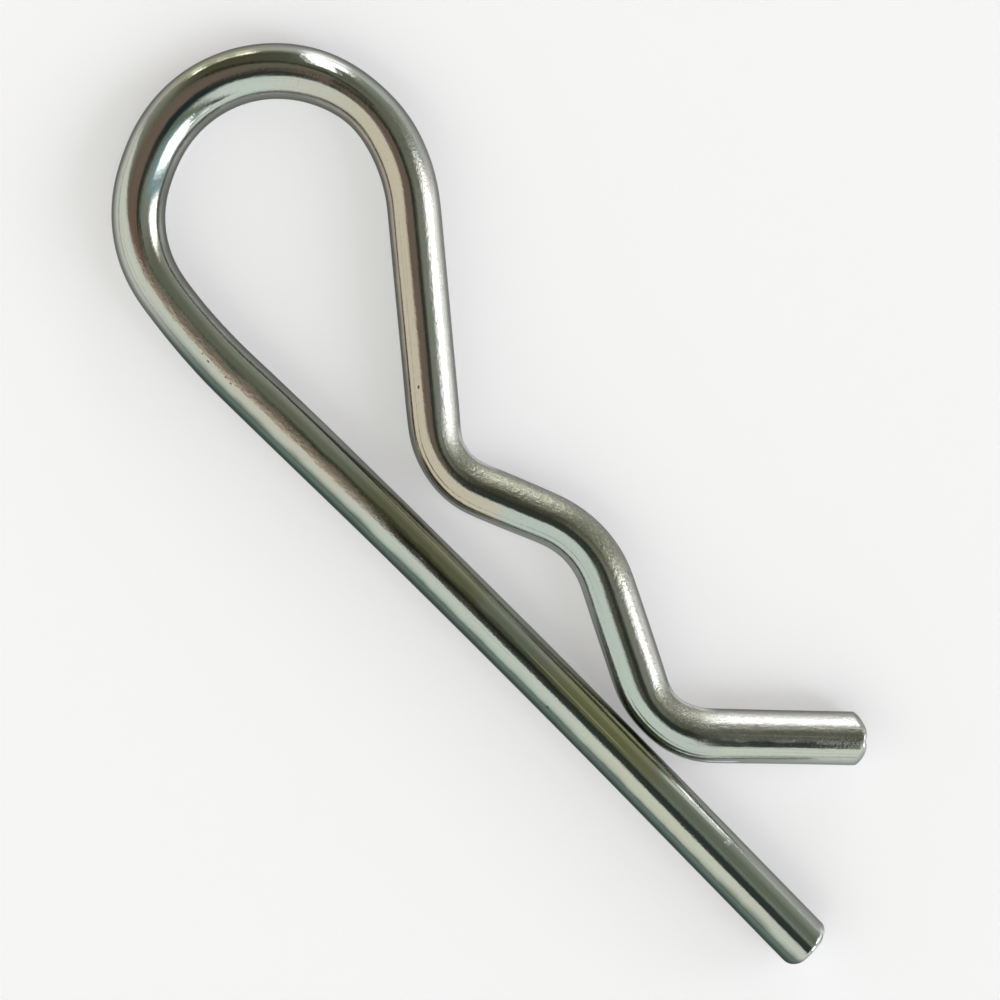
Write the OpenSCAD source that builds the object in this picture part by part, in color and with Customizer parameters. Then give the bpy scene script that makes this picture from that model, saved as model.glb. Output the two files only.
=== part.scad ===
// Hitch R clip: one length of sprung wire that locks a hitch shaft.
// The straight leg goes through the cross hole in the shaft. The waved arm snaps
// round the outside of the shaft, and its crown comes to sit over the shaft.
//
// The wire lies in the XY plane with its middle at Z = 0. The origin is where the
// shaft's axis crosses the leg, +X runs along the leg to its tip, and the arm is at +Y.
//
// The stretches are given in the order in which the wire runs, from the leg's tip to
// the tail. Every bend has the radius of the wire's centre line and a turn in degrees.

/* [Wire] */
// Diameter of the wire
wire_d = 4; // [3.6:0.1:4.2]
// Rounding of the edge at the leg's tip
tip_round = 1.2; // [0.3:0.1:1.6]
// Rounding of the edge at the tail's end
tail_round = 1.2; // [0.3:0.1:1.6]
// How much a tight bend draws the wire's radius down, and a slack one by half of it
draw_down = 0.1; // [0.08:0.01:0.14]
// Length over which a straight stretch thins towards a bend
taper_l = 1.5; // [0.5:0.1:1.8]

/* [Leg] */
// Straight stretch at the tip, which enters the shaft's hole first
tip_l = 16.1; // [10:0.1:18]
// Radius of the slight bow in the rest of the leg
bow_r = 1270; // [900:10:2400]
// Turn of that bow
bow_turn = 2; // [1.2:0.1:2.4]

/* [Loop] */
// Radius at which the leg begins to swell into the loop
lead_r = 46; // [30:1:60]
// Turn of that first stretch
lead_turn = 10.5; // [7:0.5:14]
// Radius of the loop's side
side_r = 9.6; // [8.5:0.1:11]
// Turn of the loop's side
side_turn = 51.5; // [48:0.5:56]
// Radius of the flatter place between two strokes of the bending tool
flat_r = 16; // [10:0.5:24]
// Turn of that flatter place
flat_turn = 9.5; // [6:0.5:14]
// Radius of the loop's top
top_r = 9.9; // [9:0.1:11]
// Turn of the loop's top
top_turn = 125.5; // [122:0.5:130]
// Radius at which the loop runs out into the arm
out_r = 13; // [10:0.5:18]
// Turn of that last stretch
out_turn = 24; // [20.5:0.5:28]

/* [Arm] */
// Clearance between the leg and the arm's low bend
arm_gap = 0.15; // [0.05:0.05:1]
// Radius of the neck, where the arm turns away from the leg
neck_r = 5.4; // [4:0.1:7]
// Turn of the neck
neck_turn = 62; // [56:0.5:66]
// Straight stretch that climbs from the neck to the crown
rise_l = 5.6; // [4:0.1:8]
// Radius of the crown, which sits over the shaft
crown_r = 7.7; // [5:0.1:9]
// Turn of the crown
crown_turn = 49; // [44:0.5:54]
// Straight stretch that falls from the crown to the low bend
fall_l = 8; // [6:0.1:10]
// Radius of the low bend, which closes on the leg
low_r = 5.6; // [4:0.1:7]
// Turn of the low bend
low_turn = 70.5; // [64:0.5:76]
// Straight tail, which the shaft pushes aside as the clip goes on
tail_l = 11.4; // [6:0.1:14]

/* [Hidden] */
wire_r = wire_d / 2;
// Steps of a full turn: round the wire, along a bend and along the leg's long bow
wire_fn = 48;
bend_fn = 180;
bow_fn = 3600;
// How far a bend reaches into its neighbours, and how much thinner it is than they are
// where they meet, so that they fuse soundly
reach = 0.05;
inset = 0.03;

// A stretch of wire is [length, radius, turn, loss of the wire's radius]. Its length is
// stated only where it is straight. Seen from above, a turn to the left is positive.
function straight(l) = [l, 0, 0, 0];
function bow(r, turn) = [0, r, turn, 0];
function slack(r, turn) = [0, r, turn, draw_down / 2];
function tight(r, turn) = [0, r, turn, draw_down];

// The wire's pose is [x, y, heading]. These give the centre of a bend that starts at a
// pose, the pose at the end of a stretch, and the pose at the end of a list of them.
function centre(p, s) = [p.x - sign(s[2]) * s[1] * sin(p.z), p.y + sign(s[2]) * s[1] * cos(p.z)];
function end_of(p, s) =
    let (c = centre(p, s), h = p.z + s[2], side = sign(s[2]))
    s[2] == 0
        ? [p.x + s[0] * cos(h), p.y + s[0] * sin(h), h]
        : [c.x + side * s[1] * sin(h), c.y - side * s[1] * cos(h), h];
function end_of_all(p, list, i = 0) = i == len(list) ? p : end_of_all(end_of(p, list[i]), list, i + 1);

loop = [
    slack(lead_r, -lead_turn),
    tight(side_r, -side_turn),
    slack(flat_r, -flat_turn),
    tight(top_r, -top_turn),
    slack(out_r, -out_turn)
];
neck = tight(neck_r, neck_turn);
crown = tight(crown_r, -crown_turn);
low = tight(low_r, low_turn);

// The straight between the loop and the neck is as long as it takes for the low bend to
// clear the leg by arm_gap: it moves the rest of the arm along the heading it has there.
bow_start = [0, 0, 180];
arm_start = end_of_all(bow_start, concat([bow(bow_r, bow_turn)], loop));
crown_start = end_of_all(arm_start, [neck, straight(rise_l)]);
low_start = end_of_all(crown_start, [crown, straight(fall_l)]);
arm_l = (wire_d + arm_gap + low_r - centre(low_start, low).y) / sin(arm_start.z);
// The shaft's axis is level with the crown's middle
shaft_x = centre(crown_start, crown).x + arm_l * cos(arm_start.z);

route = concat(
    [bow(bow_r, bow_turn)], loop, [straight(arm_l), neck, straight(rise_l), crown, straight(fall_l), low]
);

// A rod from the origin along +X, with the edge of its far end rounded
module rounded_rod(l, round) {
    face_r = wire_r - round;
    rotate([0, 90, 0]) rotate_extrude($fn = wire_fn) {
        square([wire_r, l - round]);
        translate([0, l - round]) square([face_r, round]);
        translate([face_r, l - round]) intersection() {
            circle(r = round, $fn = wire_fn);
            square(round);
        }
    }
}

// A bend to the left that starts at the origin along +X, and runs past both its ends
module left_bend(r, turn, section_r, past) {
    past_turn = past / r * 180 / PI;
    translate([0, r, 0]) rotate([0, 0, -90 - past_turn])
        rotate_extrude(angle = turn + 2 * past_turn, $fn = r > 100 ? bow_fn : bend_fn)
            translate([r, 0]) circle(r = section_r, $fn = wire_fn);
}

module bend(s) {
    past = s[3] > 0 ? reach : 0;
    mirror([0, s[2] < 0 ? 1 : 0, 0]) left_bend(s[1], abs(s[2]), wire_r - s[3], past);
}

// Widens from the section of a bend that has lost this much to the wire's own section
module taper(loss) {
    rotate([0, 90, 0]) cylinder(r1 = wire_r - loss + inset, r2 = wire_r, h = taper_l, $fn = wire_fn);
}

// A straight along +X between two bends that have lost loss_0 and loss_1
module straight_rod(l, loss_0, loss_1) {
    taper(loss_0);
    translate([taper_l, 0, 0]) rotate([0, 90, 0]) cylinder(r = wire_r, h = l - 2 * taper_l, $fn = wire_fn);
    translate([l, 0, 0]) rotate([0, 180, 0]) taper(loss_1);
}

// Moves its children to the end of a stretch
module after(s) {
    to_centre = [0, sign(s[2]) * s[1], 0];
    translate([s[0], 0, 0]) translate(to_centre) rotate([0, 0, s[2]]) translate(-to_centre) children();
}

// The wire from stretch i of the route on, and then the tail
module wire(i = 0) {
    if (i < len(route)) {
        if (route[i][0] > 0) straight_rod(route[i][0], route[i - 1][3], route[i + 1][3]);
        else bend(route[i]);
        after(route[i]) wire(i + 1);
    } else {
        taper(low[3]);
        translate([taper_l, 0, 0]) rounded_rod(tail_l - taper_l, tail_round);
    }
}

module r_clip() {
    color([0.66, 0.67, 0.63]) translate([-shaft_x, 0, 0]) {
        rounded_rod(tip_l, tip_round);
        rotate([0, 0, 180]) wire();
    }
}

r_clip();
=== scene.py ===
"""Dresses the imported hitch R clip: the bent wire with its worked sections and sheared ends, its zinc finish, and
a stage.

Lengths are in metres and angles in radians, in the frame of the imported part: the wire lies in the XY plane
with its middle at Z = 0, the leg runs along +X to its tip, and the waved arm is at +Y.
"""

import math

import bpy
import numpy as np
from mathutils import Matrix, Vector


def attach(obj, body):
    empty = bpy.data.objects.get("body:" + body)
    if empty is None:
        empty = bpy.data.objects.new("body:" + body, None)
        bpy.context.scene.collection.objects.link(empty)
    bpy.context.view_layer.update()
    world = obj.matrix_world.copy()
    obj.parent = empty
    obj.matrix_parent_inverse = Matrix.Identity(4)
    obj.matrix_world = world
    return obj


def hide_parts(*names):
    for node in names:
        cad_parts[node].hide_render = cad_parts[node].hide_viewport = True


bl_info = {
    "name": "Hitch R clip",
    "version": (1, 0, 0),
    "blender": (4, 5, 0),
    "location": "3D View > Sidebar > R clip",
    "description": "Bent spring wire with a zinc finish, and the stage it lies on",
    "category": "Add Mesh",
}

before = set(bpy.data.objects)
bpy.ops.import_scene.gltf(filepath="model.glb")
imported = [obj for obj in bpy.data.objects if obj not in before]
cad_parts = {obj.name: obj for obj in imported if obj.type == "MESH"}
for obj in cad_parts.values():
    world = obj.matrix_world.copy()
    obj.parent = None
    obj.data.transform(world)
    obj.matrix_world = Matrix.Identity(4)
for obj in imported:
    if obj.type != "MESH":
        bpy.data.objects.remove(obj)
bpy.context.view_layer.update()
NODE = "r_clip"
MM = 0.001
DEG = math.pi / 180

# ---------------------------------------------------------------------------------------------
# Sizes and colours that a user would change


def length(name, description, millimetres):
    size = millimetres * MM
    return bpy.props.FloatProperty(
        name=name, description=description, default=size, min=0.0, precision=5, unit="LENGTH"
    )


def turn(name, description, degrees):
    angle = degrees * DEG
    return bpy.props.FloatProperty(
        name=name, description=description, default=angle, min=0.0, precision=4, subtype="ANGLE"
    )


def colour(name, description, rgb):
    return bpy.props.FloatVectorProperty(
        name=name, description=description, default=rgb, size=3, min=0.0, max=1.0, subtype="COLOR"
    )


def share(name, description, value):
    return bpy.props.FloatProperty(
        name=name, description=description, default=value, min=0.0, soft_max=1.0
    )


class ClipWire(bpy.types.PropertyGroup):
    """The wire's route from the leg's tip to the tail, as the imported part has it"""

    wire_d: length("Wire", "Diameter of the wire", 4)
    tip_l: length("Tip", "Straight stretch at the leg's tip", 16.1)
    bow_r: length("Bow radius", "Radius of the slight bow in the leg", 1270)
    bow_turn: turn("Bow turn", "Turn of that bow", 2)
    lead_r: length("Lead radius", "Radius at which the leg swells into the loop", 46)
    lead_turn: turn("Lead turn", "Turn of that stretch", 10.5)
    side_r: length("Side radius", "Radius of the loop's side", 9.6)
    side_turn: turn("Side turn", "Turn of the loop's side", 51.5)
    flat_r: length("Flat radius", "Radius of the flatter place in the loop", 16)
    flat_turn: turn("Flat turn", "Turn of that flatter place", 9.5)
    top_r: length("Top radius", "Radius of the loop's top", 9.9)
    top_turn: turn("Top turn", "Turn of the loop's top", 125.5)
    out_r: length("Run-out radius", "Radius at which the loop runs out into the arm", 13)
    out_turn: turn("Run-out turn", "Turn of that stretch", 24)
    arm_gap: length("Arm gap", "Clearance between the leg and the arm's low bend", 0.15)
    neck_r: length("Neck radius", "Radius of the neck", 5.4)
    neck_turn: turn("Neck turn", "Turn of the neck", 62)
    rise_l: length("Rise", "Straight stretch from the neck to the crown", 5.6)
    crown_r: length("Top of arm radius", "Radius of the bend that comes to sit over the shaft", 7.7)
    crown_turn: turn("Top of arm turn", "Turn of that bend", 49)
    fall_l: length("Fall", "Straight stretch from there to the low bend", 8)
    low_r: length("Low bend radius", "Radius of the bend that closes on the leg", 5.6)
    low_turn: turn("Low bend turn", "Turn of that bend", 70.5)
    tail_l: length("Tail", "Straight stretch at the tail", 11.4)


class ClipFinish(bpy.types.PropertyGroup):
    """The zinc plate and what has tinted and marked it"""

    zinc: colour("Zinc", "Colour of the clean plate", (0.42, 0.43, 0.405))
    roughness: share("Roughness", "Roughness of the smooth stretches", 0.12)


class ClipStage(bpy.types.PropertyGroup):
    """The floor, the light and the camera"""

    floor: colour("Floor", "Colour of the floor", (0.775, 0.75, 0.815))
    floor_roughness: share("Floor roughness", "Roughness of the floor's sheen", 0.2)
    floor_glow: share("Floor glow", "What the floor adds to itself, so that it stands near white", 0.30)
    camera_height: length("Camera height", "Height of the camera over the wire's plane", 300)
    view_width: length("View width", "Width of the view at the wire's plane", 74.35)


# ---------------------------------------------------------------------------------------------
# The wire


def stretches(p):
    """The route's stretches from the tip to the tail, as rows of length and curvature, and the tip's X.

    The arm's straight is as long as it takes for the low bend to clear the leg by arm_gap: without it, the
    low bend's centre lies at some height over the leg, and a straight at the arm's heading lowers it. The
    tip's X is the one that puts the centre of the crown's bend at X = 0.
    """

    def straight(run):
        return run, 0.0

    def bend(r, angle, side):
        return r * angle, side / r

    before = [
        straight(p.tip_l),
        bend(p.bow_r, p.bow_turn, 1),
        bend(p.lead_r, p.lead_turn, -1),
        bend(p.side_r, p.side_turn, -1),
        bend(p.flat_r, p.flat_turn, -1),
        bend(p.top_r, p.top_turn, -1),
        bend(p.out_r, p.out_turn, -1),
    ]
    after = [
        bend(p.neck_r, p.neck_turn, 1),
        straight(p.rise_l),
        bend(p.crown_r, p.crown_turn, -1),
        straight(p.fall_l),
        bend(p.low_r, p.low_turn, 1),
    ]
    x, y, heading = pose_after(before, (0.0, 0.0, math.pi))
    _, low_y, low_heading = pose_after(after[:-1], (x, y, heading))
    low_centre_y = low_y + p.low_r * math.cos(low_heading)
    arm_l = (p.wire_d + p.arm_gap + p.low_r - low_centre_y) / math.sin(heading)
    crown_x, _, crown_heading = pose_after(after[:2], (x, y, heading))
    shaft_x = crown_x + p.crown_r * math.sin(crown_heading) + arm_l * math.cos(heading)
    route = before + [straight(arm_l)] + after + [straight(p.tail_l)]
    return np.array(route), -shaft_x


def pose_after(route, pose):
    """The x, y and heading at the end of a list of stretches that starts at the given ones.

    An arc moves the place by the difference of the sines, and of the cosines, of its two headings over its
    curvature. A straight moves it along its heading.
    """
    x, y, heading = pose
    for run, curve in route:
        end = heading + run * curve
        if curve:
            x += (math.sin(end) - math.sin(heading)) / curve
            y -= (math.cos(end) - math.cos(heading)) / curve
        else:
            x += run * math.cos(heading)
            y += run * math.sin(heading)
        heading = end
    return x, y, heading


class WirePath:
    """The wire's middle line, from the leg's tip to the tail.

    The curvature steps from stretch to stretch. A real wire eases into a bend, so the steps are averaged over
    a short window, and the heading and the place are the running sums of the curvature and of the heading's
    cosine and sine. Past its ends the line goes straight on.
    """

    EASE = 1.6 * MM  # length over which the curvature is averaged
    STEP = 0.01 * MM  # length of a step of the sums

    def __init__(self, p):
        route, tip_x = stretches(p)
        ends = np.cumsum(route[:, 0])
        self.total = float(ends[-1])
        self.s = np.arange(0.0, self.total + self.STEP, self.STEP)
        curve = route[np.minimum(np.searchsorted(ends, self.s), len(route) - 1), 1]
        window = np.ones(int(self.EASE / self.STEP) | 1)
        curve = np.convolve(np.pad(curve, len(window) // 2), window / len(window), "valid")
        self.heading = math.pi + self.running_sum(curve)
        self.x = self.running_sum(np.cos(self.heading)) + tip_x
        self.y = self.running_sum(np.sin(self.heading))

    def running_sum(self, rate):
        """The sum of a rate from the tip on, by trapeziums of one step each."""
        return np.concatenate([[0.0], np.cumsum((rate[1:] + rate[:-1]) / 2 * self.STEP)])

    def at(self, s):
        """The x, y and heading at s along the line from the tip."""
        inside = np.clip(s, 0.0, self.total)
        heading = np.interp(inside, self.s, self.heading)
        x = np.interp(inside, self.s, self.x) + (s - inside) * np.cos(heading)
        y = np.interp(inside, self.s, self.y) + (s - inside) * np.sin(heading)
        return x, y, heading


def bump(s, place, reach):
    """A smooth hump of height 1 at place: e to the minus square of the distance over reach."""
    return np.exp(-(((s - place) / reach) ** 2))


# Where bending has changed the wire: name, place along it and reach in mm, and what half its width gains in mm
WORKED = (
    ("swell of the leg", 53.5, 6.0, 0.03),
    ("drawn down into the loop", 67.5, 5.2, -0.085),
    ("flattened in the loop's side", 84.8, 7.2, 0.125),
    ("last of the flattening", 92.5, 3.0, 0.03),
    ("drawn down at the loop's end", 98.6, 2.6, -0.095),
    ("drawn down before the neck", 119.0, 5.0, -0.02),
    ("neck", 126.2, 2.4, -0.14),
    ("crown", 137.6, 3.6, -0.085),
    ("low bend", 152.3, 2.0, -0.16),
    ("swell after the low bend", 157.2, 3.0, 0.03),
)
NOMINAL_HALF = 2.0  # half the width, in mm, that those changes belong to
HEIGHT_LOSS = 0.9  # where the wire is wider than nominal, it is lower by this share of the widening


def half_width(s):
    """Half the wire's width in its plane, as a share of the nominal one: 1 and the sum of the worked places."""
    shares = (amount / NOMINAL_HALF * bump(s, place * MM, reach * MM) for _, place, reach, amount in WORKED)
    return sum(shares, 1.0 + 0 * s)


def half_height(s):
    """Half the wire's height, as a share of the nominal one: 1 less HEIGHT_LOSS times what half the width has
    over 1."""
    return 1.0 - HEIGHT_LOSS * np.clip(half_width(s) - 1.0, 0.0, None)


# The wire's grid
BODY_ROWS, COLUMNS = 820, 88
ROUND_ROWS, FLAT_ROWS = 12, 5  # of an end's rounded rim, and of its flat face with the middle
END_L = 1.7 * MM  # what the body's rows leave to either end
COLLAR = 0.08 * MM  # from an end's first row, of full radius, to the start of its rim

# The sheared ends: rounding of the rim in mm and angle of its corner in degrees, each on the left and on the
# right, how far the cut leans back to the right in mm, and the nick in the rim by its lean in degrees and depth
# in mm
TIP_END = ((1.05, 0.9), (0.0, 15.0), 0.25, -66.0, 0.22)
TAIL_END = ((1.9, 1.5), (31.0, 31.0), 0.0, -2.0, 0.08)
CRISP_ROUNDING = 0.3  # rounding of both rims on top and below, in mm
NICK_REACH = 7.0  # in degrees


def round_wire(side, left, right, crisp):
    """A value that is left and right at the wire's sides, and crisp on top and below. Between them it goes with
    the square of the sine of the angle round the wire."""
    return crisp + (np.where(side > 0, left, right) - crisp) * side**2


def end_rows(angle, radius, rounding, corner, slant, nick_lean, nick):
    """An end's rows, from the collar to the face: radius as a share of the wire's, and depth below the cut.

    Round the rim the radius falls as the cosine, and the end rises as the sine, of an angle that goes up to 90
    degrees from 0, or from more where the shear left a corner. Then the flat of the end closes on its middle.
    The cut leans back to the right by slant, and has a nick.
    """
    side = np.sin(angle)
    r = round_wire(side, *(amount * MM for amount in rounding), CRISP_ROUNDING * MM)[None, :]
    start = round_wire(side, *corner, 0.0)[None, :] * DEG
    beta = start + (math.pi / 2 - start) * np.linspace(0.0, 1.0, ROUND_ROWS)[:, None]
    rho = 1.0 - r / radius * (np.cos(start) - np.cos(beta))
    notch = nick * MM * bump(180.0 - angle / DEG, nick_lean, NICK_REACH)
    drop = r * (1.0 - np.sin(beta)) + notch * np.sin(beta)
    fade = np.linspace(1.0, 0.0, FLAT_ROWS + 1)[1:-1, None]
    rho = np.vstack([np.ones((1, COLUMNS)), rho, rho[-1:] * fade])
    drop = np.vstack([drop[:1] + COLLAR, drop, drop[-1:] * fade])
    return rho, drop + slant * MM * (1.0 - side * rho) / 2


def wire_surface(p):
    """The wire as a grid, rows along it and columns round it, with the middle of either end, the grid's U, and
    the path.

    A column's angle starts at the underside and goes round by the left. A row of the body is a section square
    to the middle line, at half the wire's width across and half its height up. The rows of the ends are carried
    by the same line, each point at its own depth.
    """
    path = WirePath(p)
    angle = np.arange(COLUMNS) / COLUMNS * 2 * math.pi
    side = np.sin(angle)  # 1 on the left, -1 on the right
    top = -np.cos(angle)  # 1 on top
    radius = p.wire_d / 2
    tip_rho, tip_drop = end_rows(angle, radius, *TIP_END)
    tail_rho, tail_drop = end_rows(angle, radius, *TAIL_END)
    body = np.linspace(END_L, path.total - END_L, BODY_ROWS)
    s = np.vstack([tip_drop[::-1], np.repeat(body[:, None], COLUMNS, 1), path.total - tail_drop])
    rho = np.vstack([tip_rho[::-1], np.ones((BODY_ROWS, COLUMNS)), tail_rho])
    x, y, heading = path.at(s)
    across = radius * half_width(s) * rho * side[None, :]
    z = radius * half_height(s) * rho * top[None, :]
    points = np.stack([x - across * np.sin(heading), y + across * np.cos(heading), z], axis=2)
    tip_slant, tail_slant = TIP_END[2] * MM, TAIL_END[2] * MM
    end_x, end_y, _ = path.at(np.array([tip_slant / 2, path.total - tail_slant / 2]))
    poles = np.stack([end_x, end_y, np.zeros(2)], axis=1)
    return points, poles, s / path.total, path


def grid_mesh(name, points, poles, u):
    """A closed mesh from a grid that wraps round its columns, with a fan at each end, and its UV map.

    U is the share of the way along the wire and V the share of the way round it, so the map has no overlap.
    """
    rows, columns = points.shape[:2]
    vertices = np.vstack([points.reshape(-1, 3), poles])
    index = np.arange(rows * columns).reshape(rows, columns)
    following = np.roll(index, -1, axis=1)
    quads = np.stack([index[:-1], index[1:], following[1:], following[:-1]], axis=2).reshape(-1, 4)
    first, last = rows * columns, rows * columns + 1
    start_fan = np.stack([np.full(columns, first), index[0], following[0]], axis=1)
    end_fan = np.stack([np.full(columns, last), following[-1], index[-1]], axis=1)
    mesh = bpy.data.meshes.new(name)
    mesh.from_pydata(vertices.tolist(), [], quads.tolist() + start_fan.tolist() + end_fan.tolist())

    def corner_uv(*corner_pairs):
        """U and V of every face's corners, as rows, from the U and V of all first corners, and so on."""
        each = [np.stack(np.broadcast_arrays(*pair), axis=-1) for pair in corner_pairs]
        return np.stack(each, axis=-2).reshape(-1, 2)

    v = np.arange(columns) / columns
    v_next = v + 1.0 / columns
    v_middle = (v + v_next) / 2
    u_next = np.roll(u, -1, axis=1)
    quad_uv = corner_uv((u[:-1], v), (u[1:], v), (u_next[1:], v_next), (u_next[:-1], v_next))
    start_uv = corner_uv((0.0, v_middle), (u[0], v), (u_next[0], v_next))
    end_uv = corner_uv((1.0, v_middle), (u_next[-1], v_next), (u[-1], v))
    layer = mesh.uv_layers.new(name="wire")
    layer.uv.foreach_set("vector", np.vstack([quad_uv, start_uv, end_uv]).astype(np.float32).ravel())
    mesh.polygons.foreach_set("use_smooth", np.ones(len(mesh.polygons), bool))
    mesh.update()
    return mesh


# ---------------------------------------------------------------------------------------------
# Shader expressions


class Graph:
    """Adds nodes to one node tree."""

    def __init__(self, tree):
        self.tree = tree
        tree.nodes.clear()

    def node(self, kind, settings=None, inputs=None):
        made = self.tree.nodes.new(kind)
        for name, value in (settings or {}).items():
            setattr(made, name, value)
        for key, value in (inputs or {}).items():
            if isinstance(value, Socket):
                self.tree.links.new(value.socket, made.inputs[key])
            else:
                made.inputs[key].default_value = value
        return made

    def out(self, kind, output=0, settings=None, inputs=None):
        return Socket(self, self.node(kind, settings, inputs).outputs[output])

    def mix(self, amount, first, second):
        """A colour that goes from first to second as amount goes from 0 to 1."""
        inputs = {0: amount, 6: rgba(first), 7: rgba(second)}
        return self.out("ShaderNodeMix", 2, {"data_type": "RGBA"}, inputs)

    def vector(self, x, y, z):
        return self.out("ShaderNodeCombineXYZ", 0, None, {0: x, 1: y, 2: z})

    def dot(self, vector, axis):
        inputs = {0: vector, 1: tuple(axis)}
        return self.out("ShaderNodeVectorMath", "Value", {"operation": "DOT_PRODUCT"}, inputs)

    def noise(self, vector, scale, detail, roughness):
        inputs = {"Vector": vector, "Scale": scale, "Detail": detail, "Roughness": roughness}
        return self.out("ShaderNodeTexNoise", 0, {"noise_dimensions": "3D"}, inputs)


def rgba(value):
    return value if isinstance(value, Socket) else (*value, 1.0)


class Socket:
    """A number in a shader. Arithmetic on it adds the Math nodes that work it out."""

    def __init__(self, graph, socket):
        self.graph = graph
        self.socket = socket

    def math(self, operation, *others, first=None):
        values = [self if first is None else first, *others]
        return self.graph.out("ShaderNodeMath", 0, {"operation": operation}, dict(enumerate(values)))

    def __add__(self, other):
        return self.math("ADD", other)

    def __sub__(self, other):
        return self.math("SUBTRACT", other)

    def __rsub__(self, other):
        return self.math("SUBTRACT", self, first=other)

    def __mul__(self, other):
        return self.math("MULTIPLY", other)

    def __rmul__(self, other):
        return self.math("MULTIPLY", other)

    def __truediv__(self, other):
        return self.math("DIVIDE", other)

    def __abs__(self):
        return self.math("ABSOLUTE")

    def step(self, low, high, first, last):
        """First below low, last above high, and a smooth step between."""
        settings = {"interpolation_type": "SMOOTHSTEP"}
        inputs = {0: self, 1: low, 2: high, 3: first, 4: last}
        return self.graph.out("ShaderNodeMapRange", 0, settings, inputs)

    def above(self, low, high):
        return self.step(low, high, 0.0, 1.0)

    def below(self, low, high):
        return self.step(low, high, 1.0, 0.0)

    def between(self, low, high, soft):
        """1 from low to high, with a smooth step as wide as soft on either side."""
        middle, half = (low + high) / 2, (high - low) / 2
        return abs(self - middle).below(half - soft / 2, half + soft / 2)


# ---------------------------------------------------------------------------------------------
# Finish

# Lean is the angle from the top of the wire, in degrees, and positive on the left of someone who walks from the
# leg's tip to the tail. That side is the outside of the leg and the loop, and the side of the arm that faces
# away from the leg.

# Colours laid on places of the plate. Some are tints of the passivation; the others are painted reflections and
# painted shade: darker plate where the wire would mirror dark surroundings, brighter plate where it would mirror
# bright ones. Each row: name, from and to along the wire in mm, ease in mm, from and to in lean, ease in degrees,
# share of the colour that shows, and colour
PLATE_TINTS_AND_PAINTED_REFLECTIONS = (
    # Painted dark reflections: the plate on the wire's sides is made darker, standing in for dark surroundings
    # mirrored there
    ("painted dark reflection on the flank, leg and loop", 0, 104, 8, 55, 112, 22, 1.0, (0.25, 0.25, 0.24)),
    ("painted dark reflection on the flank, arm", 104, 200, 8, 55, 112, 22, 1.0, (0.33, 0.33, 0.315)),
    ("painted dark reflection on the inner flank", 54, 126, 8, -112, -54, 16, 1.0, (0.21, 0.215, 0.195)),
    ("painted dark reflection on the leg's inner flank", -9, 54, 8, -112, -46, 12, 0.8, (0.30, 0.31, 0.285)),
    # Painted dark teal reflections on the leg's outer side
    ("painted dark teal reflection on the leg's shoulder", -9, 66, 10, 35, 112, 24, 0.95, (0.095, 0.128, 0.113)),
    ("painted dark teal reflection on the leg's flank", -9, 66, 10, 60, 112, 24, 0.85, (0.05, 0.075, 0.07)),
    ("clean grey near the tip", -9, 17.5, 3, -46, 5, 8, 0.9, (0.42, 0.465, 0.46)),
    ("yellow of the leg", 9, 23, 8, 8, 38, 10, 0.6, (0.43, 0.425, 0.36)),
    ("clear blue of the leg", 23, 48, 6, 8, 38, 10, 0.5, (0.39, 0.425, 0.41)),
    ("olive of the leg", 18, 28, 5, -62, -2, 10, 0.85, (0.42, 0.41, 0.25)),
    ("olive further up", 35.6, 48, 5, -62, -2, 10, 0.8, (0.33, 0.31, 0.215)),
    ("blue between the olives", 30.2, 35.5, 0.8, -34, -6, 4, 0.6, (0.37, 0.43, 0.41)),
    # Painted dark reflection: a near-black olive band along the top of the leg
    ("painted dark olive reflection by the top", 27, 56, 8, -14, 2, 8, 0.75, (0.13, 0.13, 0.08)),
    ("pink of the leg", 48, 62, 6, -4, 34, 12, 0.6, (0.42, 0.385, 0.35)),
    # Painted reflection: a brown band on top of the swell
    ("painted brown reflection on the swell", 46, 76, 8, -2, 14, 8, 0.8, (0.46, 0.36, 0.29)),
    ("olive of the loop's shoulder", 84, 91, 4, 28, 62, 10, 0.6, (0.34, 0.33, 0.19)),
    # Painted dark reflection: a dark blue patch on top of the loop
    ("painted dark blue reflection in the loop", 80.5, 87, 3, -13, 0, 6, 0.8, (0.20, 0.30, 0.36)),
    ("clear blue of the loop", 76, 92, 5, -50, -10, 10, 0.5, (0.41, 0.47, 0.47)),
    ("straw of the arm", 97, 131.8, 8, -60, -13, 8, 0.9, (0.43, 0.365, 0.30)),
    # Painted dark reflections: darker olive plate on the rubbed tops of the neck and the low bend
    ("painted dark olive reflection on the neck's top", 125.5, 142, 4, 12, 62, 10, 0.85, (0.265, 0.265, 0.205)),
    ("painted dark olive reflection on the low bend's top", 151, 156, 3, 12, 62, 10, 0.85, (0.25, 0.25, 0.2)),
    # Painted bright reflections on the flank in the hollows of the neck and the low bend
    ("painted bright reflection in the neck's hollow", 124.5, 130, 2, 66, 114, 8, 0.9, (0.85, 0.86, 0.83)),
    ("painted bright reflection in the low bend's hollow", 151.5, 156.5, 2, 66, 114, 8, 0.9, (0.85, 0.86, 0.83)),
    # Painted dark reflection: a dark teal band past the crown
    ("painted dark teal reflection past the crown", 138, 151, 4, -15, -5, 6, 0.8, (0.23, 0.32, 0.28)),
    ("pale blue past the neck", 132, 157, 0.8, -60, -14, 6, 0.8, (0.37, 0.412, 0.405)),
    ("grey of the tail", 157, 200, 3, -60, 10, 6, 0.6, (0.44, 0.46, 0.44)),
    # Painted highlight: near-white plate on the burr at the leg's tip
    ("painted highlight on the tip's burr", -1, 0.9, 0.8, -75, -48, 8, 1.0, (0.93, 0.94, 0.93)),
)

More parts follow.
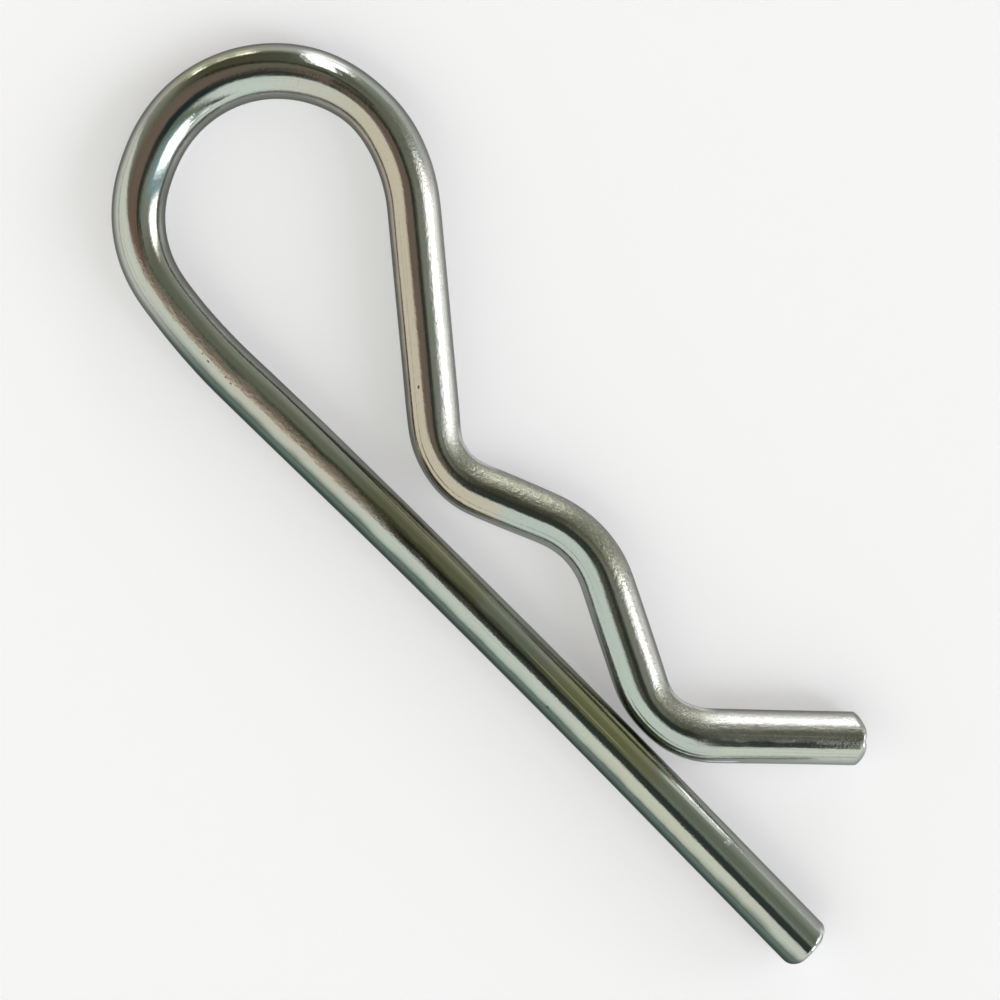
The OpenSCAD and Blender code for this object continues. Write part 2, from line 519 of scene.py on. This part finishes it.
# Places where the plate has lost its gloss: name, from and to along the wire, ease, from and to in lean, ease,
# and what that adds to the roughness
DULL = (
    ("dull band of the leg", 45, 72, 6, -8, 14, 8, 0.20),
    ("dull top of the arm", 100, 200, 8, 16, 100, 10, 0.10),
    ("rubbed neck", 124, 142, 5, 14, 100, 10, 0.10),
    ("rubbed low bend", 151, 156.5, 3, 10, 100, 10, 0.16),
    ("dull top of the tail", 156, 200, 3, -7, 26, 8, 0.14),
)

# Scratches and rubbed lines, and painted highlights along lines: name, from and to along the wire, lean at either
# end, half width in degrees, height that the surface gains from the line's middle to its left edge in micrometres,
# share of the colour, and colour
MARKS_AND_PAINTED_HIGHLIGHTS = (
    # Painted highlights: a near-white streak along a rub near the tip, with no relief, and a nick beside it with
    # relief, painted near white
    ("painted highlight along the rub near the tip", 10.8, 17.2, -43, -41, 5.6, 0, 1.0, (0.97, 0.97, 0.96)),
    ("nick with a painted highlight by that rub", 10.1, 10.5, -35, -35, 3.0, 10, 1.0, (0.93, 0.94, 0.92)),
    ("long fine line", 18, 48, -32, -43, 1.1, 3, 0.7, (0.62, 0.62, 0.50)),
    ("second fine line", 33, 56, -43, -45, 0.9, 2, 0.5, (0.62, 0.62, 0.50)),
    ("yellow line", 20.8, 30.6, -13, -14.5, 1.3, 2, 0.8, (0.76, 0.75, 0.46)),
    ("scuff on the leg", 58.5, 63.5, -30, -31, 1.4, 3, 0.6, (0.60, 0.60, 0.52)),
    ("glint before the loop", 71.0, 74.5, -9, -8, 1.5, 3, 0.7, (0.70, 0.68, 0.64)),
    # Painted highlight: a thin pale cyan line on the loop's inner side, with a little relief
    ("painted highlight line in the loop", 83.2, 86.0, -40, -41, 1.2, 4, 0.9, (0.85, 0.90, 0.90)),
    ("flat along the arm", 104, 157, -45, -45, 5, 15, 0.0, (0.43, 0.43, 0.40)),
    ("line under the tail's light", 158, 166, 6, 5, 1.2, 2, 0.6, (0.62, 0.62, 0.56)),
    # Painted highlight: a short near-white streak low on the tail's inner flank, with no relief
    ("painted short highlight on the tail", 156.4, 158.6, -68, -66, 4, 0, 1.0, (0.93, 0.94, 0.92)),
)

# Pits: place along the wire, lean, half length and half width in mm
PITS = (
    (120.6, -26, 0.16, 0.09),
    (60.3, 19, 0.10, 0.07),
    (60.9, 17, 0.08, 0.08),
    (62.6, 20, 0.13, 0.07),
    (63.3, 17, 0.07, 0.06),
    (26.8, 42, 0.16, 0.16),
    (41.2, 2, 0.10, 0.05),
)
PIT_DEPTH = 8.0  # in micrometres
PIT_SHARE, PIT_COLOUR = 0.85, (0.07, 0.065, 0.05)
# How much the grain frays a pit, and the squares of the shares of its half sizes between which its edge lies
PIT_RAGGED, PIT_EDGE = 0.8, (0.8, 1.5)

# A mark fades in over a share of its length at either end, and goes between two shares of its half width: the
# first pair is for its colour and the second for its relief
MARK_END_EASE = 0.3
MARK_EDGE, MARK_RELIEF_EDGE = (0.6, 1.4), (0.8, 2.6)

# Noises of the plate: how much of the way along the wire they read, cycles per mm, octaves and roughness
GRAIN = (1.0, 4.5, 3.0, 0.65)
CLOUD = (1.0, 0.45, 2.0, 0.5)
FILM = (1.0, 0.16, 1.0, 0.5)
DRAWN_LINES = (0.016, 6.0, 3.0, 0.6)
WEAR = (0.8, 3.8, 3.0, 0.65)
SPECKS = (1.0, 7.0, 2.0, 0.7)

# How far the edges of tints and dull places wander with the clouds: in degrees round the wire, and in mm along
# it for each degree
EDGE_WANDER, ALONG_SHARE = 14.0, 0.12

GRAIN_ROUGHNESS, CLOUD_ROUGHNESS = 0.06, 0.04
FILM_DIM = 0.96  # how bright the plate is where the film is thin
FILM_BAND_EASE = 0.06
FILM_SHARE = 0.35
DRAWN_SHARE, DRAWN_COLOUR = 0.22, (0.22, 0.22, 0.18)
GRAIN_SHARE, GRAIN_COLOUR = 0.12, (0.17, 0.17, 0.14)
SPECK_COLOUR = (0.64, 0.64, 0.60)
# Values of a noise between which its shade comes in
FILM_EDGE, DRAWN_EDGE, GRAIN_EDGE, SPECK_EDGE = (0.35, 0.65), (0.52, 0.75), (0.54, 0.70), (0.54, 0.68)
# What a dull place adds to the share of the dark grain and of the bright specks, for each unit of its roughness
DULL_GRAIN, DULL_SPECKS = 2.6, 3.2

# Relief in micrometres: of the smooth plate, and what a dull place adds for each unit of its roughness
GRAIN_RELIEF, DULL_GRAIN_RELIEF = 6.0, 60.0
WEAR_RELIEF, DULL_WEAR_RELIEF = 4.0, 220.0
DRAWN_RELIEF, CLOUD_RELIEF = 4.5, 14.0
MICROMETRE = 1e-6
EDGE_TINT = (0.45, 0.48, 0.46, 1.0)  # tint of the metal at grazing angles


def zinc_finish(p, total):
    """Zinc plate with a clear passivation. The UV map gives the place along the wire and the angle round it.

    Noises are read in mm, on the round wire laid straight. A passivation tint, a painted reflection or a dull
    place covers what lies within its ends and its leans, both shifted by the clouds. A mark is a band about a line
    of
    leans: across it the height goes with the distance from the line, and fades beyond it. Some marks are painted
    highlights.
    """
    material = bpy.data.materials.new("zinc_plate")
    material.use_nodes = True
    g = Graph(material.node_tree)
    uv = Socket(g, g.node("ShaderNodeUVMap", {"uv_map": "wire"}).outputs[0])
    split = g.node("ShaderNodeSeparateXYZ", None, {0: uv})
    along = Socket(g, split.outputs[0]) * (total / MM)
    lean = 180.0 - Socket(g, split.outputs[1]) * 360.0
    side, up = (lean * DEG).math("SINE") * NOMINAL_HALF, (lean * DEG).math("COSINE") * NOMINAL_HALF

    def plate_noise(reach, *settings):
        return g.noise(g.vector(along * reach, side, up), *settings)

    grain, cloud, film = plate_noise(*GRAIN), plate_noise(*CLOUD), plate_noise(*FILM)
    drawn, wear, specks = plate_noise(*DRAWN_LINES), plate_noise(*WEAR), plate_noise(*SPECKS)
    wander = (cloud - 0.5) * EDGE_WANDER

    def patch(start, end, ease, low, high, lean_ease):
        across = (lean + wander).between(low, high, lean_ease)
        return (along + wander * ALONG_SHARE).between(start, end, ease) * across

    dull = 0.0
    for _, *place, amount in DULL:
        dull = patch(*place) * amount + dull
    roughness = dull + (grain - 0.5) * GRAIN_ROUGHNESS + (cloud - 0.5) * CLOUD_ROUGHNESS + p.roughness

    tone = g.mix(film.above(*FILM_EDGE), tuple(c * FILM_DIM for c in p.zinc), tuple(p.zinc))
    shades = (
        (film.between(0.40, 0.47, FILM_BAND_EASE), (0.40, 0.425, 0.41)),  # bluish
        (film.between(0.52, 0.60, FILM_BAND_EASE), (0.43, 0.405, 0.38)),  # straw
        (cloud.above(0.52, 0.66), (0.45, 0.405, 0.40)),  # pink
        (cloud.below(0.34, 0.48), (0.39, 0.435, 0.40)),  # green
    )
    for where, rgb in shades:
        tone = g.mix(where * FILM_SHARE, tone, rgb)
    # Passivation tints, and the painted reflections and painted shade, laid over the plate's colour
    for _, *place, amount, rgb in PLATE_TINTS_AND_PAINTED_REFLECTIONS:
        tone = g.mix(patch(*place) * amount, tone, rgb)
    tone = g.mix(drawn.above(*DRAWN_EDGE) * DRAWN_SHARE, tone, DRAWN_COLOUR)
    tone = g.mix(grain.above(*GRAIN_EDGE) * (dull * DULL_GRAIN + GRAIN_SHARE), tone, GRAIN_COLOUR)
    tone = g.mix(specks.above(*SPECK_EDGE) * dull * DULL_SPECKS, tone, SPECK_COLOUR)

    relief = (grain - 0.5) * (dull * DULL_GRAIN_RELIEF + GRAIN_RELIEF)
    relief = relief + (wear - 0.5) * (dull * DULL_WEAR_RELIEF + WEAR_RELIEF)
    relief = relief + drawn * DRAWN_RELIEF + cloud * CLOUD_RELIEF
    # Scratches and rubbed lines, and the painted highlights along lines
    for _, start, end, lean_start, lean_end, half, gain, amount, rgb in MARKS_AND_PAINTED_HIGHLIGHTS:
        off = lean - ((along - start) * ((lean_end - lean_start) / (end - start)) + lean_start)
        there = along.between(start, end, (end - start) * MARK_END_EASE)
        painted, raised = (
            abs(off).below(half * edge[0], half * edge[1]) * there for edge in (MARK_EDGE, MARK_RELIEF_EDGE)
        )
        tone = g.mix(painted * amount, tone, rgb)
        relief = relief + off * raised * (gain / half)
    for place, pit_lean, long, wide in PITS:
        off_along = (along - place) / long
        off_round = (lean - pit_lean) * (DEG * NOMINAL_HALF / wide)
        pit = (off_along * off_along + off_round * off_round + grain * PIT_RAGGED).below(*PIT_EDGE)
        tone = g.mix(pit * PIT_SHARE, tone, PIT_COLOUR)
        relief = relief - pit * PIT_DEPTH
    normal = g.out("ShaderNodeBump", 0, None, {"Strength": 1.0, "Distance": MICROMETRE, "Height": relief})
    inputs = {"Base Color": tone, "Metallic": 1.0, "Roughness": roughness, "Normal": normal}
    inputs["Specular Tint"] = EDGE_TINT
    shader = g.out("ShaderNodeBsdfPrincipled", 0, None, inputs)
    g.node("ShaderNodeOutputMaterial", None, {"Surface": shader})
    return material


# ---------------------------------------------------------------------------------------------
# Stage

CAMERA_TURN = 45.7 * DEG  # heading, in the XY plane, of the camera's right-hand side
AIM_X, AIM_Y = -6.52 * MM, 6.82 * MM  # the middle of the view
SENSOR_W = 36.0  # width of the camera's sensor, in mm
CLIP_START = 0.01  # nearest distance that the camera shows, in metres
FLOOR_REACH = 6.0  # half the floor's width, in metres

# Soft panels of light and dark round the clip: name, heading of the middle from the camera's right, angle of the
# middle from overhead, roll, half width, half height and softness, all in degrees, and colour. Without roll, the
# width is level. A later panel hangs before an earlier one.
PANELS = (
    ("dim corner", 97, 57, 0, 28, 22, 14, (0.145, 0.15, 0.10)),
    ("pale wall on the right", 2, 36, 0, 10, 20, 8, (0.40, 0.41, 0.35)),
    ("dark overhead", 261, 9.9, -54, 17.5, 8.3, 4, (0.045, 0.062, 0.054)),
    ("warm shade", 158.5, 26, 23.5, 19.5, 22, 5, (0.29, 0.222, 0.177)),
    ("dark rail, near", 77.5, 9, 22.5, 2.8, 9.5, 3, (0.03, 0.026, 0.014)),
    ("dark rail, far", 100, 32.5, 43, 22, 3.5, 4, (0.045, 0.04, 0.024)),
    ("window, near", 237, 57.7, 0, 60, 35, 4, (1.20, 1.26, 1.13)),
    ("window, left", 233.4, 64, 0, 85, 37.5, 5, (1.20, 1.26, 1.13)),
    ("window, right", 290, 38.5, 0, 8, 20, 5, (1.20, 1.26, 1.13)),
    ("cool panel", 342, 60, 0, 12, 32, 6, (0.36, 0.54, 0.56)),
    ("lamp on the right", 6, 76, 20, 9.5, 22, 12, (5.0, 5.0, 4.9)),
    ("lamp on the near right", 331, 61, 0, 10, 18, 6, (5.0, 5.0, 5.0)),
    ("lamp behind", 73, 82, 0, 8.5, 12, 5, (5.0, 5.0, 4.9)),
    ("small lamp, first", 104, 85, 0, 3.0, 5, 2, (6.0, 6.0, 6.0)),
    ("small lamp, second", 112, 86, 0, 1.4, 4, 1, (6.0, 6.0, 6.0)),
    ("small lamp, third", 121, 85, 0, 2.2, 5, 1, (6.0, 6.0, 6.0)),
)
ROOM_ABOVE = (0.25, 0.267, 0.197)
ROOM_BELOW = (0.46, 0.48, 0.40)
ROOM_EASE = (45.0, 85.0)  # angles from overhead between which the room goes from one to the other
HORIZON = (0.7, 0.71, 0.68)
HORIZON_EASE = (83.5, 86.0)

# Cards that only the metal and the floor's sheen show: name, the spot they face, in mm right of and above the
# middle of the view, heading and angle from overhead of the card from there, distance in mm, half width and half
# height in mm, and colour
CARDS = (
    ("dark card", 25, -18, 269, 28, 70, 8.8, 19.5, (0.05, 0.065, 0.055)),
    ("pale card", 19, -18, 86, 69, 306, 19, 105, (5.0, 5.0, 4.9)),
)


def facing(heading, tilt, roll=0.0):
    """The turn whose columns are the unit vectors down, across and towards the middle of a panel.

    The heading, the tilt from overhead and the roll are in degrees.
    """
    level = Matrix.Rotation(heading * DEG + CAMERA_TURN, 3, "Z") @ Matrix.Rotation(tilt * DEG, 3, "Y")
    return level @ Matrix.Rotation(-roll * DEG, 3, "Z")


def sky(world):
    """Colours by direction: a room that is paler towards the horizon, and the panels before it.

    A panel has three unit vectors: towards its middle, along its width and down its height. The angle from its
    middle plane, either way, is the arctangent of a direction's share along that vector over its share along
    the first, and the panel covers what lies within both of its half angles.
    """
    world.use_nodes = True
    g = Graph(world.node_tree)
    direction = g.out("ShaderNodeTexCoord", 0)
    split = g.node("ShaderNodeSeparateXYZ", None, {0: direction})
    from_top = Socket(g, split.outputs[2]).math("ARCCOSINE") / DEG
    colour_now = g.mix(from_top.above(*ROOM_EASE), ROOM_ABOVE, ROOM_BELOW)
    for _, heading, tilt, roll, half_wide, half_high, soft, rgb in PANELS:
        down, wide, middle = facing(heading, tilt, roll).col
        share_middle = g.dot(direction, middle)
        mask = 1.0
        for axis, half in ((wide, half_wide), (down, half_high)):
            angle = abs(g.dot(direction, axis).math("ARCTAN2", share_middle)) / DEG
            mask = mask * angle.below(half - soft / 2, half + soft / 2)
        colour_now = g.mix(mask, colour_now, rgb)
    colour_now = g.mix(from_top.above(*HORIZON_EASE), colour_now, HORIZON)
    background = g.node("ShaderNodeBackground", None, {"Color": colour_now, "Strength": 1.0})
    g.node("ShaderNodeOutputWorld", None, {"Surface": Socket(g, background.outputs[0])})


def floor_finish(p):
    """A pale satin floor. What it adds to itself shows to the camera and in the metal alike, and the shadow
    stays."""
    material = bpy.data.materials.new("pale_floor")
    material.use_nodes = True
    g = Graph(material.node_tree)
    paths = g.node("ShaderNodeLightPath")
    seen = Socket(g, paths.outputs["Is Camera Ray"]) + Socket(g, paths.outputs["Is Glossy Ray"])
    seen = seen + Socket(g, paths.outputs["Is Transmission Ray"])
    seen = seen.math("MINIMUM", 1.0)
    satin_look = {"Base Color": rgba(p.floor), "Roughness": p.floor_roughness}
    satin = g.out("ShaderNodeBsdfPrincipled", 0, None, satin_look)
    glow_look = {"Color": rgba((1.0, 1.0, 1.0)), "Strength": seen * p.floor_glow}
    glow = g.out("ShaderNodeEmission", 0, None, glow_look)
    both = g.out("ShaderNodeAddShader", 0, None, {0: satin, 1: glow})
    g.node("ShaderNodeOutputMaterial", None, {"Surface": both})
    return material


def card_finish(name, rgb):
    """A plain glow of one colour."""
    material = bpy.data.materials.new(name)
    material.use_nodes = True
    g = Graph(material.node_tree)
    glow = g.out("ShaderNodeEmission", 0, None, {"Color": rgba(rgb), "Strength": 1.0})
    g.node("ShaderNodeOutputMaterial", None, {"Surface": glow})
    return material


def flat_sheet(scene, name, sheet_corners, material):
    """An object of one four-cornered face."""
    mesh = bpy.data.meshes.new(name)
    mesh.from_pydata(sheet_corners, [], [(0, 1, 2, 3)])
    mesh.materials.append(material)
    sheet = bpy.data.objects.new(name, mesh)
    scene.collection.objects.link(sheet)
    return sheet


def stand_card(scene, name, right, above, heading, tilt, distance, half_wide, half_high, rgb):
    """A flat card that faces a spot of the wire. The camera and the shadows pass through it."""
    turned = facing(heading, tilt)
    spot = Matrix.Rotation(CAMERA_TURN, 3, "Z") @ Vector((right, above, 0.0)) * MM
    middle = Vector((AIM_X, AIM_Y, 0.0)) + spot + turned.col[2] * distance * MM
    down, wide = turned.col[0] * half_high * MM, turned.col[1] * half_wide * MM
    card_corners = [middle + down * i + wide * j for i, j in ((-1, -1), (-1, 1), (1, 1), (1, -1))]
    card = flat_sheet(scene, name, card_corners, card_finish(name, rgb))
    card.visible_camera = card.visible_diffuse = card.visible_shadow = card.visible_transmission = False


# ---------------------------------------------------------------------------------------------
# Operators


class RCLIP_OT_wire(bpy.types.Operator):
    """Build the bent wire with its finish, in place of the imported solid"""

    bl_idname = "rclip.wire"
    bl_label = "Bent wire"

    def execute(self, context):
        p = context.scene.rclip_wire
        points, poles, u, path = wire_surface(p)
        clip = bpy.data.objects.new("clip_wire", grid_mesh("clip_wire", points, poles, u))
        context.scene.collection.objects.link(clip)
        clip.data.materials.append(zinc_finish(context.scene.rclip_finish, path.total))
        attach(clip, "root")
        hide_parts(NODE)
        return {"FINISHED"}


class RCLIP_OT_stage(bpy.types.Operator):
    """Lay the floor and set the light and the camera"""

    bl_idname = "rclip.stage"
    bl_label = "Stage"

    def execute(self, context):
        scene = context.scene
        p = scene.rclip_stage
        low = -scene.rclip_wire.wire_d / 2
        signs = ((-1, -1), (1, -1), (1, 1), (-1, 1))
        floor_corners = [(i * FLOOR_REACH, j * FLOOR_REACH, low) for i, j in signs]
        floor = flat_sheet(scene, "floor", floor_corners, floor_finish(p))

        for card in CARDS:
            stand_card(scene, *card)

        scene.world = bpy.data.worlds.new("studio")
        sky(scene.world)
        scene.view_settings.view_transform = "Standard"

        lens = bpy.data.cameras.new("camera")
        lens.sensor_width = SENSOR_W
        lens.lens = lens.sensor_width * p.camera_height / p.view_width
        lens.clip_start = CLIP_START
        camera = bpy.data.objects.new("camera", lens)
        camera.location = (AIM_X, AIM_Y, p.camera_height)
        camera.rotation_euler = (0.0, 0.0, CAMERA_TURN)
        scene.collection.objects.link(camera)
        scene.camera = camera
        return {"FINISHED"}


class RCLIP_PT_sidebar(bpy.types.Panel):
    """Lists the clip's operators and its sizes"""

    bl_idname = "RCLIP_PT_sidebar"
    bl_label = "R clip"
    bl_space_type = "VIEW_3D"
    bl_region_type = "UI"
    bl_category = "R clip"

    def draw(self, context):
        for group, operator in (("rclip_wire", "rclip.wire"), ("rclip_stage", "rclip.stage")):
            settings = getattr(context.scene, group)
            column = self.layout.column()
            for name in settings.bl_rna.properties.keys():
                if name not in {"rna_type", "name"}:
                    column.prop(settings, name)
            column.operator(operator)


GROUPS = {"rclip_wire": ClipWire, "rclip_finish": ClipFinish, "rclip_stage": ClipStage}
CLASSES = (*GROUPS.values(), RCLIP_OT_wire, RCLIP_OT_stage, RCLIP_PT_sidebar)


def register():
    for cls in CLASSES:
        bpy.utils.register_class(cls)
    for name, cls in GROUPS.items():
        setattr(bpy.types.Scene, name, bpy.props.PointerProperty(type=cls))


def unregister():
    for name in GROUPS:
        delattr(bpy.types.Scene, name)
    for cls in reversed(CLASSES):
        bpy.utils.unregister_class(cls)


def main():
    register()
    bpy.ops.rclip.wire()
    bpy.ops.rclip.stage()


if __name__ == "__main__":
    main()
